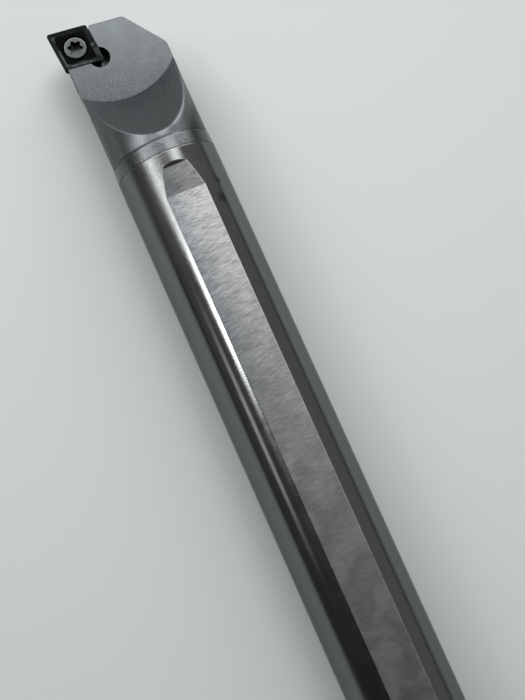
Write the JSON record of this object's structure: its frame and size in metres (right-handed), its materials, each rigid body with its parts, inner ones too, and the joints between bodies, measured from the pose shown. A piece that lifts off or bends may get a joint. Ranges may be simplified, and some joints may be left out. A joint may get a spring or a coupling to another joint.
{
  "type": "boring bar",
  "caption": "Right-hand indexable boring bar: carbide shank with clamping flats, brazed steel head with scooped rake face, screw-clamped rhombic insert.",
  "frame": {"origin": "centre of the shank's rear face, on the axis of the round shank", "axes": "+X along the axis from the rear face to the cutting nose, +Y towards the side that cuts, +Z out of the rake face and of the upper clamping flat"},
  "size_m": [0.18, 0.017, 0.016],
  "materials": {
    "ground_carbide": "ground and lapped bright cemented carbide, fine cross scratches on the flats",
    "plated_steel": "fine blasted steel with matte nickel plating",
    "coated_carbide": "satin black coating",
    "screw_steel": "plain turned steel, matte"
  },
  "bodies": {
    "bar": {"carbide_shank": "ground_carbide", "steel_head": "plated_steel", "cutting_insert": "coated_carbide"},
    "screw": {"clamp_screw": "screw_steel"}
  },
  "joints": [
    {"name": "clamp_screw_turn", "type": "hinge", "parent": "bar", "child": "screw", "pos_m": [0.17655, 0.00555, 0], "axis": [0, 0, 1], "range_deg": [0, 2160]}
  ]
}
